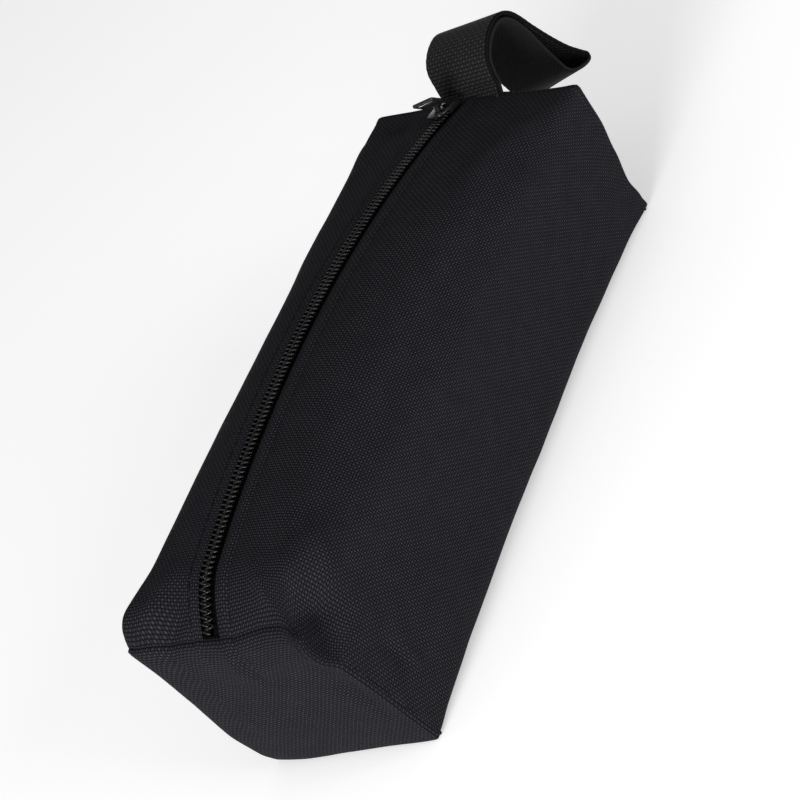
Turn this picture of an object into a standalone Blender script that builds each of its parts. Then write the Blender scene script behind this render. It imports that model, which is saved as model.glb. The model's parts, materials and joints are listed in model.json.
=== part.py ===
"""Zip-up sandbag pouch: a box-shaped fabric bag with a crowned, zipped top and a doubled webbing
loop at its far end, holding a plastic liner full of sand.

Frame: metres, +Z up, +X along the bag towards the loop, +Y to the left when looking along +X.
The origin is on the floor, under the middle of the bag's length and width.
"""
import math

import bmesh
import bpy
from mathutils import Matrix, Vector

MM = 0.001

# Bag
BAG_LENGTH = 194 * MM
HALF_WIDTH = 34.5 * MM
END_HEIGHT = 56.8 * MM
CROWN_HEIGHT = 72.6 * MM
FABRIC = 0.8 * MM
GAP = 0.3 * MM
END_BULGE = 3.0 * MM

# Zip: its line is one circular arc in an XZ plane, but for the last stretch at the near end
ZIP_Y = 3.0 * MM
ZIP_RADIUS = 402 * MM
ZIP_TOP_X = -15 * MM
STEEP_START_X = -80 * MM
SLOT_WIDTH = 6.8 * MM
TAPE_WIDTH = 11 * MM
TAPE_THICKNESS = 0.5 * MM
COIL_WIDTH = 2.3 * MM
COIL_HEIGHT = 1.2 * MM
COIL_PARTING = 0.7 * MM
STITCH_OFFSETS = {1: 7.1 * MM, -1: 9.1 * MM}
THREAD_RADIUS = 0.25 * MM

# Slider, in its own plane: u along the zip, v across it, w out of the bag
SLIDER_X = 89.5 * MM
SLIDER_LENGTH = 10.5 * MM
SLIDER_WIDTH = 8.4 * MM
PLATE = 0.9 * MM
NECK_WIDTH = 0.8 * MM
NECK_LENGTH = 3.0 * MM
BRIDGE_WIDTH = 1.8 * MM
BRIDGE_SPAN = 4.8 * MM
BRIDGE_HOLE = 2.0 * MM
TAB_WIDTH = 7.0 * MM
TAB_REACH = 12.2 * MM
TAB_THICKNESS = 1.1 * MM
TAB_WINDOW = 4.4 * MM
TAB_WINDOW_END = 3.2 * MM
TAB_SLOT = 5.0 * MM
TAB_LIFT = math.radians(35)
TAB_YAW = math.radians(20)

# Loop of webbing, folded double
WEBBING_WIDTH = 25.4 * MM
WEBBING = 1.2 * MM
LOOP_Y = -1.5 * MM
LOOP_PIVOT = Vector((98.65 * MM, LOOP_Y, 58.0 * MM))
LOOP_ROUTE = (
    (97.9, 58.0), (98.6, 60.8), (101.2, 65.0), (104.8, 67.3), (109.1, 68.7), (113.9, 68.7),
    (117.4, 67.4), (119.8, 64.6), (121.2, 60.5), (122.4, 54.9), (124.5, 46.9), (126.9, 39.8),
    (129.6, 34.6), (131.2, 31.9), (130.7, 30.5), (129.2, 30.5), (126.5, 31.6), (123.6, 33.6),
    (121.9, 36.1), (121.3, 39.0), (120.7, 45.6), (120.5, 50.5), (120.3, 55.0), (119.6, 60.0),
    (118.4, 63.7), (116.4, 66.1), (113.6, 67.1), (109.3, 67.1), (105.5, 65.9), (102.5, 64.1),
    (100.2, 60.6), (99.4, 58.0),
)
SEAM_ALLOWANCE = 11 * MM

# Inside
BINDING_DEPTH = 1.9 * MM
BINDING_WIDTH = 8 * MM
BINDING_THICKNESS = 0.5 * MM
BINDING_OPENING = 11 * MM
LINER_DEPTH = 3.4 * MM
LINER = 0.6 * MM
NECK_RADIUS = 4.5 * MM
TIE_RADIUS = 1.0 * MM

# How finely the soft shapes are divided: along the bag, and along each run of half a section
STATIONS = 21
RUN_POINTS = (4, 5, 3, 4, 3)
FILL_POINTS = (2, 3, 2, 2, 2)


# ---------------------------------------------------------------- the bag's outer shape

def arc_height(x):
    """Height of the zip's circular arc."""
    return CROWN_HEIGHT - ZIP_RADIUS + math.sqrt(ZIP_RADIUS ** 2 - (x - ZIP_TOP_X) ** 2)


def crown(x):
    """Height of the bag's top, which turns down steeply at the near end."""
    end = -BAG_LENGTH / 2
    if x >= STEEP_START_X:
        return arc_height(x)
    share = (STEEP_START_X - x) / (STEEP_START_X - end)
    return arc_height(x) - (arc_height(end) - END_HEIGHT) * share ** 1.7


def top_radius(x, side):
    """Radius of a long top edge: soft in the middle, tight at the sewn ends."""
    share = min(1.0, abs(x - ZIP_TOP_X) / (BAG_LENGTH / 2))
    widest = 21 * MM if side > 0 else 25 * MM
    return 2.5 * MM + (widest - 2.5 * MM) * (1 - share ** 3)


def bottom_radius(x):
    """Radius of a long bottom edge."""
    share = min(1.0, abs(x) / (BAG_LENGTH / 2))
    return 2.0 * MM + 9.0 * MM * (1 - share ** 4)


def half_runs(x, side):
    """Lengths of the top, corner, wall, corner and floor along one half of the section."""
    top, low = top_radius(x, side), bottom_radius(x)
    return (HALF_WIDTH - top, math.pi / 2 * top, crown(x) - top - low,
            math.pi / 2 * low, HALF_WIDTH - low)


def on_section(x, side, distance):
    """Point and outward normal at a distance along the section from the middle of the top."""
    top, low = top_radius(x, side), bottom_radius(x)
    runs = half_runs(x, side)
    height = crown(x)
    step = 0
    while step < 4 and distance > runs[step]:
        distance -= runs[step]
        step += 1
    if step == 0:
        y, z, ny, nz = distance, height, 0, 1
    elif step == 1:
        turn = distance / top
        ny, nz = math.sin(turn), math.cos(turn)
        y, z = HALF_WIDTH - top + top * ny, height - top + top * nz
    elif step == 2:
        y, z, ny, nz = HALF_WIDTH, height - top - distance, 1, 0
    elif step == 3:
        turn = distance / low
        ny, nz = math.cos(turn), -math.sin(turn)
        y, z = HALF_WIDTH - low + low * ny, low + low * nz
    else:
        y, z, ny, nz = HALF_WIDTH - low - distance, 0, 0, -1
    return Vector((x, side * y, z)), Vector((0, side * ny, nz))


def skin(x, side, distance, depth=0.0):
    """Point at a depth under the bag's outer surface."""
    point, normal = on_section(x, side, distance)
    return point - normal * depth


def beside_zip(x, offset, depth=0.0):
    """Point at a distance across the zip from its middle, at a depth under the surface."""
    y = ZIP_Y + offset
    side = 1 if y >= 0 else -1
    return skin(x, side, abs(y), depth)


def spread(start, end, count):
    return [start + (end - start) * step / (count - 1) for step in range(count)]


def half_section(x, side, depth, start=0.0, shares=RUN_POINTS):
    """Points round one half of the section, closer together on the corners."""
    stops = []
    passed = 0.0
    for run, count in zip(half_runs(x, side), shares):
        stops += spread(max(start, passed), passed + run, count + 1)[:-1]
        passed += run
    return [skin(x, side, stop, depth) for stop in stops + [passed]]


def whole_section(x, depth, shares=RUN_POINTS):
    """Closed ring round the section, at a depth under the surface."""
    left = half_section(x, 1, depth, 0.0, shares)
    right = half_section(x, -1, depth, 0.0, shares)
    return left[:-1] + right[:0:-1]


# ---------------------------------------------------------------- making objects

def make_material(name, colour, roughness, metallic=0.0):
    material = bpy.data.materials.new(name)
    material.use_nodes = True
    shader = material.node_tree.nodes["Principled BSDF"]
    shader.inputs["Base Color"].default_value = (*colour, 1)
    shader.inputs["Roughness"].default_value = roughness
    shader.inputs["Metallic"].default_value = metallic
    return material


def finish(name, bm, material, smooth=math.radians(40)):
    """Turn a bmesh into a named object with its faces pointing out."""
    bmesh.ops.recalc_face_normals(bm, faces=bm.faces)
    mesh = bpy.data.meshes.new(name)
    bm.to_mesh(mesh)
    bm.free()
    mesh.materials.append(material)
    mesh.shade_smooth()
    mesh.set_sharp_from_angle(angle=smooth)
    thing = bpy.data.objects.new(name, mesh)
    bpy.context.collection.objects.link(thing)
    return thing


def bridge(bm, first, second):
    """Quads between two closed rings of the same count."""
    count = len(first)
    for step in range(count):
        after = (step + 1) % count
        bm.faces.new((first[step], first[after], second[after], second[step]))


def cap(bm, ring):
    """Quads across a ring whose second half runs back beside its first half."""
    last = len(ring) - 1
    for step in range(len(ring) // 2 - 1):
        bm.faces.new((ring[step], ring[step + 1], ring[last - step - 1], ring[last - step]))


def loft(name, rings, material):
    """Solid through a row of rings, capped at both ends."""
    bm = bmesh.new()
    rows = [[bm.verts.new(point) for point in ring] for ring in rings]
    for first, second in zip(rows, rows[1:]):
        bridge(bm, first, second)
    cap(bm, rows[0])
    cap(bm, rows[-1])
    return finish(name, bm, material)


def pivot_at(thing, place):
    """Move an object's origin, leaving its mesh where it is."""
    thing.data.transform(Matrix.Translation(-place))
    thing.location = place


# ---------------------------------------------------------------- fabric shell

def body_panel(material):
    """One piece of fabric wrapped round the bag, its two edges folded under at the zip."""
    def path(x, depth):
        points = []
        for side in (1, -1):
            half = half_section(x, side, depth, abs(ZIP_Y + side * SLOT_WIDTH / 2))
            points += half if side > 0 else half[-2::-1]
        return points

    reach = BAG_LENGTH / 2 - FABRIC
    rings = [path(x, 0) + path(x, FABRIC)[::-1] for x in spread(-reach, reach, STATIONS)]
    return loft("body_panel", rings, material)


def end_panel(name, direction, material):
    """Rectangular panel sewn into one end, bulging a little outwards."""
    bm = bmesh.new()
    seam = direction * BAG_LENGTH / 2
    middle = Vector((seam, 0, END_HEIGHT / 2))
    rim = whole_section(seam, 0)

    def surface(outward):
        rows = []
        for share in (1.0, 0.8, 0.55, 0.28):
            bulge = direction * (END_BULGE * (1 - share ** 2) + outward)
            rows.append([bm.verts.new(middle + (point - middle) * share + Vector((bulge, 0, 0)))
                         for point in rim])
        for first, second in zip(rows, rows[1:]):
            bridge(bm, first, second)
        centre = bm.verts.new(middle + Vector((direction * (END_BULGE + outward), 0, 0)))
        last = rows[-1]
        for step in range(len(last)):
            bm.faces.new((last[step], last[(step + 1) % len(last)], centre))
        return rows[0]

    bridge(bm, surface(-FABRIC + GAP), surface(GAP))
    return finish(name, bm, material)


def seam_binding(name, direction, material):
    """Tape folded over the raw edges inside an end seam, open where the zip crosses it."""
    outer_x = direction * (BAG_LENGTH / 2 - 1.6 * MM)
    rings = []
    for x in (outer_x, outer_x - direction * BINDING_WIDTH):
        ring = []
        for depth in (BINDING_DEPTH, BINDING_DEPTH + BINDING_THICKNESS):
            left = half_section(x, 1, depth, ZIP_Y + BINDING_OPENING / 2)
            right = half_section(x, -1, depth, BINDING_OPENING / 2 - ZIP_Y)
            path = left + right[-2::-1]
            ring += path if depth == BINDING_DEPTH else path[::-1]
        rings.append(ring)
    return loft(name, rings, material)


# ---------------------------------------------------------------- zip

def zip_tape(name, side, material):
    """Woven tape of one half of the zip, under the folded edge of the body panel."""
    top = FABRIC + GAP
    across = [side * offset for offset in spread(COIL_PARTING, TAPE_WIDTH, 4)]
    rings = []
    for x in spread(-BAG_LENGTH / 2 + 1.1 * MM, BAG_LENGTH / 2 - 1.1 * MM, STATIONS):
        over = [beside_zip(x, offset, top) for offset in across]
        under = [beside_zip(x, offset, top + TAPE_THICKNESS) for offset in across]
        rings.append(over + under[::-1])
    return loft(name, rings, material)


def zip_coil(name, side, material):
    """Nylon coil sewn along one tape: here the plain bar that the coil fills."""
    near, far = COIL_PARTING, COIL_PARTING + COIL_WIDTH
    lift = COIL_HEIGHT * 0.6
    outline = ((near, -FABRIC), (near, lift), (near + 0.5 * MM, COIL_HEIGHT),
               (far - 0.6 * MM, COIL_HEIGHT), (far, lift), (far, -FABRIC))
    rings = []
    for x in spread(-BAG_LENGTH / 2 + 1.1 * MM, BAG_LENGTH / 2 - 1.1 * MM, 31):
        rings.append([beside_zip(x, side * offset, -height) for offset, height in outline])
    return loft(name, rings, material)


def topstitch(name, side, material):
    """Thread that holds the folded edge of the body panel down on the zip tape."""
    lift = THREAD_RADIUS + GAP
    line = side * STITCH_OFFSETS[side]
    rings = []
    for x in spread(-BAG_LENGTH / 2 + 1.5 * MM, BAG_LENGTH / 2 - 1.5 * MM, 31):
        ring = []
        for step in range(4):
            turn = math.pi / 2 * (step + 0.5)
            offset = line + THREAD_RADIUS * math.cos(turn)
            ring.append(beside_zip(x, offset, -lift - THREAD_RADIUS * math.sin(turn)))
        rings.append(ring)
    return loft(name, rings, material)


def slider_frame():
    """Origin on the zip's arc, direction along it towards +X, and direction out of the bag."""
    lean = math.asin((SLIDER_X - ZIP_TOP_X) / ZIP_RADIUS)
    along = Vector((math.cos(lean), 0, -math.sin(lean)))
    out = Vector((math.sin(lean), 0, math.cos(lean)))
    return Vector((SLIDER_X, ZIP_Y, arc_height(SLIDER_X))), along, out


def slab(bm, outline, low, high, place):
    """Prism between two heights, over an outline of (u, v) points."""
    bottom = [bm.verts.new(place(u, v, low)) for u, v in outline]
    top = [bm.verts.new(place(u, v, high)) for u, v in outline]
    bm.faces.new(bottom[::-1])
    bm.faces.new(top)
    bridge(bm, bottom, top)


def add_solid(name, bm, material):
    thing = finish(name, bm, material)
    thing.hide_render = True
    thing.display_type = "WIRE"
    return thing


def join_solids(target, others):
    """Unite a solid with helper solids that overlap it, by Boolean modifiers."""
    for other in others:
        union = target.modifiers.new("join " + other.name, "BOOLEAN")
        union.operation = "UNION"
        union.solver = "EXACT"
        union.object = other


def slider_body(material):
    """Cast slider: a flanged top plate, a bottom plate under the tapes, a neck and a bridge."""
    origin, along, out = slider_frame()
    across = Vector((0, 1, 0))

    def place(u, v, w):
        return origin + along * u + across * v + out * w

    def plate(half_length, half_width, taper):
        return ((-half_length, -half_width * taper), (-half_length * 0.4, -half_width),
                (half_length * 0.8, -half_width), (half_length, -half_width * taper),
                (half_length, half_width * taper), (half_length * 0.8, half_width),
                (-half_length * 0.4, half_width), (-half_length, half_width * taper))

    def box(u0, u1, v0, v1):
        return ((u0, v0), (u1, v0), (u1, v1), (u0, v1))

    roof = COIL_HEIGHT + GAP
    under = -(FABRIC + GAP + TAPE_THICKNESS + GAP)
    half_length, half_width = SLIDER_LENGTH / 2, SLIDER_WIDTH / 2
    bm = bmesh.new()
    slab(bm, plate(half_length, half_width, 0.8), roof, roof + PLATE, place)
    body = finish("slider_body", bm, material)

    helpers = []
    bm = bmesh.new()
    slab(bm, plate(half_length * 0.95, half_width * 0.85, 0.8), under - PLATE, under, place)
    helpers.append(add_solid("slider_bottom_plate", bm, material))
    bm = bmesh.new()
    neck_end = half_length * 0.75
    slab(bm, box(neck_end - NECK_LENGTH, neck_end, -NECK_WIDTH / 2, NECK_WIDTH / 2),
         under - PLATE / 2, roof + PLATE / 2, place)
    helpers.append(add_solid("slider_neck", bm, material))
    for side in (1, -1):
        bm = bmesh.new()
        inner, outer = side * (half_width - 0.75 * MM), side * (half_width - 0.02 * MM)
        slab(bm, box(-half_length * 0.3, half_length * 0.75, min(inner, outer), max(inner, outer)),
             GAP + 0.1 * MM, roof + PLATE / 2, place)
        helpers.append(add_solid("slider_flange_" + ("left" if side > 0 else "right"), bm, material))

    bm = bmesh.new()
    base = roof + PLATE
    half_span, wall = BRIDGE_SPAN / 2, 0.9 * MM
    arch = [(-half_span, base - PLATE / 2), (-half_span, base + 1.0 * MM)]
    arch += [(-half_span + wall, base + BRIDGE_HOLE + wall), (half_span - wall, base + BRIDGE_HOLE + wall)]
    arch += [(half_span, base + 1.0 * MM), (half_span, base - PLATE / 2)]
    arch += [(half_span - wall, base - PLATE / 2), (half_span - wall, base + BRIDGE_HOLE * 0.7)]
    arch += [(half_span - 1.5 * wall, base + BRIDGE_HOLE), (-half_span + 1.5 * wall, base + BRIDGE_HOLE)]
    arch += [(-half_span + wall, base + BRIDGE_HOLE * 0.7), (-half_span + wall, base - PLATE / 2)]
    right = [bm.verts.new(place(u, -BRIDGE_WIDTH / 2, w)) for u, w in arch]
    left = [bm.verts.new(place(u, BRIDGE_WIDTH / 2, w)) for u, w in arch]
    bridge(bm, right, left)
    cap(bm, right[-6:] + right[:6])
    cap(bm, left[-6:] + left[:6])
    helpers.append(add_solid("slider_bridge", bm, material))
    join_solids(body, helpers)
    return body


def tab_axis():
    """The pull tab's crossbar, which sits under the slider's bridge."""
    origin, along, out = slider_frame()
    return origin + out * (COIL_HEIGHT + GAP + PLATE + BRIDGE_HOLE / 2)


def pull_tab(material):
    """Flat pull, hanging a little askew: a window for the slider's bridge, and a slot for a cord."""
    _, along, out = slider_frame()
    pivot = tab_axis()
    back = -along * math.cos(TAB_YAW) - Vector((0, 1, 0)) * math.sin(TAB_YAW)
    across = back.cross(out)
    reach = back * math.cos(TAB_LIFT) + out * math.sin(TAB_LIFT)
    face = out * math.cos(TAB_LIFT) - back * math.sin(TAB_LIFT)
    half = TAB_THICKNESS / 2

    def place(u, v, w):
        return pivot + reach * u + across * v + face * w

    wide, narrow, corner = TAB_WIDTH / 2, TAB_WIDTH / 2 - 0.5 * MM, 0.8 * MM
    outline = ((-half, -narrow), (TAB_WINDOW_END, -narrow), (TAB_WINDOW_END + 1.5 * MM, -wide),
               (TAB_REACH - corner, -wide), (TAB_REACH, corner - wide), (TAB_REACH, wide - corner),
               (TAB_REACH - corner, wide), (TAB_WINDOW_END + 1.5 * MM, wide),
               (TAB_WINDOW_END, narrow), (-half, narrow))
    bm = bmesh.new()
    slab(bm, outline, -half, half, place)
    tab = finish("pull_tab", bm, material)
    holes = (("tab_window", half, TAB_WINDOW_END, TAB_WINDOW / 2),
             ("tab_slot", TAB_REACH * 0.79, TAB_REACH * 0.9, TAB_SLOT / 2))
    for name, start, end, side in holes:
        bm = bmesh.new()
        slab(bm, ((start, -side), (end, -side), (end, side), (start, side)), -3 * half, 3 * half, place)
        cutter = add_solid(name, bm, material)
        cut = tab.modifiers.new("cut " + name, "BOOLEAN")
        cut.operation = "DIFFERENCE"
        cut.solver = "EXACT"
        cut.object = cutter
    pivot_at(tab, pivot)
    return tab


# ---------------------------------------------------------------- webbing loop

def smooth_route(points, steps):
    """Catmull-Rom curve through points in the XZ plane."""
    ends = [points[0] * 2 - points[1]] + points + [points[-1] * 2 - points[-2]]
    route = []
    for index in range(1, len(ends) - 2):
        a, b, c, d = ends[index - 1:index + 3]
        for step in range(steps):
            t = step / steps
            route.append(0.5 * (2 * b + (c - a) * t + (2 * a - 5 * b + 4 * c - d) * t * t
                                + (3 * b - a - 3 * c + d) * t ** 3))
    return route + [points[-1]]


def ribbon(name, route, material):
    """Webbing along a route in the XZ plane: each ring is one cut across it."""
    bm = bmesh.new()
    rows = []
    for index, point in enumerate(route):
        ahead = route[min(index + 1, len(route) - 1)] - route[max(index - 1, 0)]
        normal = Vector((-ahead.z, 0, ahead.x)).normalized() * WEBBING / 2
        edge = Vector((0, WEBBING_WIDTH / 2, 0))
        rows.append([bm.verts.new(point + offset) for offset in
                     (edge + normal, -edge + normal, -edge - normal, edge - normal)])
    for first, second in zip(rows, rows[1:]):
        bridge(bm, first, second)
    bm.faces.new(rows[0])
    bm.faces.new(rows[-1])
    return finish(name, bm, material)


def handle_loop(material):
    """Webbing folded double: up from the seam, over, down to its fold, and back again."""
    points = [Vector((x * MM, LOOP_Y, z * MM)) for x, z in LOOP_ROUTE]
    loop = ribbon("handle_loop", smooth_route(points, 2), material)
    pivot_at(loop, LOOP_PIVOT)
    return loop


def handle_root(material):
    """The loop's two ends inside the bag, one against the other, caught in the seam allowance."""
    middle = BAG_LENGTH / 2 - 3.0 * MM
    top = END_HEIGHT - 3.0 * MM
    near, far = middle - WEBBING - GAP / 2, middle + WEBBING + GAP / 2
    corners = ((near, top), (near, top - SEAM_ALLOWANCE), (far, top - SEAM_ALLOWANCE), (far, top))
    bm = bmesh.new()
    rows = [[bm.verts.new((x, LOOP_Y + side * WEBBING_WIDTH / 2, z)) for x, z in corners]
            for side in (1, -1)]
    bridge(bm, rows[0], rows[1])
    bm.faces.new(rows[0])
    bm.faces.new(rows[1])
    return finish("handle_root", bm, material)


# ---------------------------------------------------------------- filling

def liner_rings(depth, reach, neck_radius):
    """Rings of the liner from its closed end to its gathered neck."""
    rings = []
    for share in (0.5, 0.9):
        start = -reach + 1.5 * MM * (1 - share)
        ring = whole_section(-reach + 6 * MM, depth, FILL_POINTS)
        middle = Vector((start, 0, END_HEIGHT / 2))
        rings.append([middle + Vector((0, point.y, point.z - middle.z)) * share for point in ring])
    for x in spread(-reach + 6 * MM, reach - 12 * MM, 9):
        rings.append(whole_section(x, depth, FILL_POINTS))
    count = len(rings[0])
    gather = ((reach - 6 * MM, 0.8), (reach - 4 * MM, 0.45), (reach - 2 * MM, 0.0), (reach + 5 * MM, 0.0))
    for x, share in gather:
        ring = whole_section(reach - 12 * MM, depth, FILL_POINTS)
        middle = Vector((x, 0, END_HEIGHT / 2))
        shaped = []
        for step, point in enumerate(ring):
            turn = math.pi / 2 - 2 * math.pi * step / count
            neck = middle + Vector((0, math.cos(turn), math.sin(turn))) * neck_radius
            wide = Vector((x, point.y, point.z))
            shaped.append(neck.lerp(wide, share))
        rings.append(shaped)
    return rings


def liner_bag(material):
    """Plastic bag that holds the sand, gathered into a neck at the far end."""
    bm = bmesh.new()
    reach = BAG_LENGTH / 2 - 13 * MM
    outer = liner_rings(LINER_DEPTH, reach, NECK_RADIUS)
    inner = liner_rings(LINER_DEPTH + LINER, reach - LINER, NECK_RADIUS - LINER)
    rows = [[bm.verts.new(point) for point in ring] for ring in outer + inner[::-1]]
    for first, second in zip(rows, rows[1:]):
        bridge(bm, first, second)
    for ring in (rows[0], rows[-1]):
        centre = bm.verts.new(sum((vert.co for vert in ring), Vector()) / len(ring))
        for step in range(len(ring)):
            bm.faces.new((ring[step], ring[(step + 1) % len(ring)], centre))
    return finish("liner_bag", bm, material)


def liner_tie(material):
    """Tie round the liner's neck."""
    bm = bmesh.new()
    x = BAG_LENGTH / 2 - 11.5 * MM
    rows = []
    for step in range(16):
        turn = 2 * math.pi * step / 16
        ring = []
        for side in range(6):
            roll = 2 * math.pi * side / 6
            radius = NECK_RADIUS + GAP + TIE_RADIUS + TIE_RADIUS * math.cos(roll)
            ring.append(bm.verts.new((x + TIE_RADIUS * math.sin(roll), radius * math.cos(turn),
                                      END_HEIGHT / 2 + radius * math.sin(turn))))
        rows.append(ring)
    for step in range(16):
        bridge(bm, rows[step], rows[(step + 1) % 16])
    return finish("liner_tie", bm, material)


def sand_fill(material):
    """Sand inside the liner."""
    bm = bmesh.new()
    depth = LINER_DEPTH + LINER + GAP
    rows = []
    for x in spread(-BAG_LENGTH / 2 + 19.5 * MM, BAG_LENGTH / 2 - 26 * MM, 10):
        rows.append([bm.verts.new(point) for point in whole_section(x, depth, FILL_POINTS)])
    for first, second in zip(rows, rows[1:]):
        bridge(bm, first, second)
    for ring in (rows[0], rows[-1]):
        centre = bm.verts.new((ring[0].co.x, 0, END_HEIGHT / 2))
        for step in range(len(ring)):
            bm.faces.new((ring[step], ring[(step + 1) % len(ring)], centre))
    return finish("sand_fill", bm, material)


# ---------------------------------------------------------------- assembly

for old in list(bpy.data.objects):
    bpy.data.objects.remove(old, do_unlink=True)

fabric = make_material("oxford fabric", (0.022, 0.021, 0.027), 0.75)
webbing = make_material("webbing", (0.017, 0.017, 0.018), 0.8)
tape = make_material("zip tape", (0.012, 0.012, 0.013), 0.85)
coil = make_material("zip coil", (0.016, 0.016, 0.017), 0.4)
slider_metal = make_material("slider metal", (0.05, 0.05, 0.052), 0.4, 0.9)
tab_metal = make_material("tab metal", (0.35, 0.35, 0.36), 0.35, 1.0)
thread = make_material("thread", (0.02, 0.02, 0.022), 0.7)
binding = make_material("binding tape", (0.02, 0.02, 0.022), 0.85)
plastic = make_material("liner film", (0.6, 0.62, 0.65), 0.35)
tie_plastic = make_material("tie", (0.8, 0.8, 0.78), 0.5)
sand = make_material("sand", (0.45, 0.35, 0.22), 0.95)

body_panel(fabric)
end_panel("near_end_panel", -1, fabric)
end_panel("far_end_panel", 1, fabric)
seam_binding("near_seam_binding", -1, binding)
seam_binding("far_seam_binding", 1, binding)
for label, hand in (("left", 1), ("right", -1)):
    zip_tape("zip_tape_" + label, hand, tape)
    zip_coil("zip_coil_" + label, hand, coil)
    topstitch("zip_topstitch_" + label, hand, thread)
slider_body(slider_metal)
pull_tab(tab_metal)
handle_loop(webbing)
handle_root(webbing)
liner_bag(plastic)
liner_tie(tie_plastic)
sand_fill(sand)
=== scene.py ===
import json
import math

import bmesh
import bpy
from mathutils import Matrix, Vector, noise


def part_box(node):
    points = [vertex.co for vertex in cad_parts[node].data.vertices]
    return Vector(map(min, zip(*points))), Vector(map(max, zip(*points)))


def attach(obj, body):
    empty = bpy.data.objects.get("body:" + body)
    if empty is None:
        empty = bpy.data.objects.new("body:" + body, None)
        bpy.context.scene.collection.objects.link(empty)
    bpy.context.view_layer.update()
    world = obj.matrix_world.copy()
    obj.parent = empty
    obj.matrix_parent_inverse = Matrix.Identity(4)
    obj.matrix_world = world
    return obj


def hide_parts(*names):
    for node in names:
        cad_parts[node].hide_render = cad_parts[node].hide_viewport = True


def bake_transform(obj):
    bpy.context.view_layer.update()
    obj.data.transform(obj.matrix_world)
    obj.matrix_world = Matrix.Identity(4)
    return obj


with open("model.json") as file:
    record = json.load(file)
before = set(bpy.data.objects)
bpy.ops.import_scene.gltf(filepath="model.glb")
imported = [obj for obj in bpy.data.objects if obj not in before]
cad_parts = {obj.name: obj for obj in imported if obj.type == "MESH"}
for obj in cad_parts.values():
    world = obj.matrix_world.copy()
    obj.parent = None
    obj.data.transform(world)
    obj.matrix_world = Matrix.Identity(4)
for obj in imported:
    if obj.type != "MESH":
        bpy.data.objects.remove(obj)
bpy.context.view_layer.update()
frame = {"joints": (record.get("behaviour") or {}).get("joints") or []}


# ---------------------------------------------------------------- body panel
# One rectangle of coated oxford cloth wrapped round the sand. Its long edges are folded under and
# sewn to the zip, and its short edges are sewn to the end panels, inside out, and then turned.

MM = 0.001
FABRIC_COLOUR = (0.0150, 0.0144, 0.0176)
FABRIC_THREAD = 0.8 * MM
FABRIC_THICKNESS = 0.35 * MM
TURN_RADIUS = 0.55 * MM
FOLD_RADIUS = 0.45 * MM
FOLD_WIDTH = 3.5 * MM
ALLOWANCE = 1.6 * MM

# Spacing of the cloth's mesh: along the bag, round it, round a turned edge, and in what is turned in
CLOTH_STEP, GIRTH_STEP, TURN_STEP = 1.1 * MM, 1.15 * MM, 0.2 * MM
ALLOWANCE_STEP, FOLD_STEP = 0.8 * MM, 1.2 * MM

body_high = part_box("body_panel")[1]
half_width = body_high.y
half_length = body_high.x + 0.3 * MM
end_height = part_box("far_end_panel")[1].z
travel = next(joint for joint in frame["joints"] if joint["name"] == "slider_travel")
zip_centre = Vector(travel["pos_m"])
zip_radius = body_high.z - zip_centre.z
zip_y = zip_centre.y

# The top turns down steeply from here to the near end
STEEP_START, STEEPNESS = -80 * MM, 1.7
# Radius of the long edges at the sewn ends, and how much softer they are in the middle
TOP_RADIUS, TOP_SOFTNESS = 2.0 * MM, {1: 19 * MM, -1: 23 * MM}
BOTTOM_RADIUS, BOTTOM_SOFTNESS = 1.6 * MM, 7.6 * MM

# How far each corner of the bag sits from its square place, in mm: near and far end, left and
# right side, bottom and top
CORNER_SHIFT = {
    (-1, 1, 1): (-0.4, -0.1, -1.5), (-1, -1, 1): (0.2, 1.7, 1.1),
    (-1, 1, 0): (-0.6, -3.5, 0.0), (-1, -1, 0): (3.6, 1.9, 0.0),
    (1, 1, 1): (-1.4, 0.8, 3.2), (1, -1, 1): (0.6, -5.2, -6.5),
    (1, 1, 0): (-1.1, -0.1, 0.0), (1, -1, 0): (-2.6, 3.6, 0.0),
}
# Hollows and swells of the filled cloth, in mm: middle, reach and push, each along X, Y and Z
SWELLS = (
    ((-92.5, -33, 57.5), (6, 8, 8), (1.6, 3.0, -3.0)),
    ((-80, -29, 66), (7, 7, 8), (0, -1.0, 1.4)),
    ((-93, 31, 62), (9, 13, 12), (-0.6, 2.0, 4.6)),
    ((-70, -35, 20), (22, 10, 16), (0, -1.4, 0)),
    ((60, -36, 28), (26, 10, 18), (0, 1.0, 0)),
    ((58, 30, 66), (32, 14, 16), (0, -0.9, -1.1)),
    ((0, 30, 68), (32, 14, 16), (0, -0.9, -1.1)),
)
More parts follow.
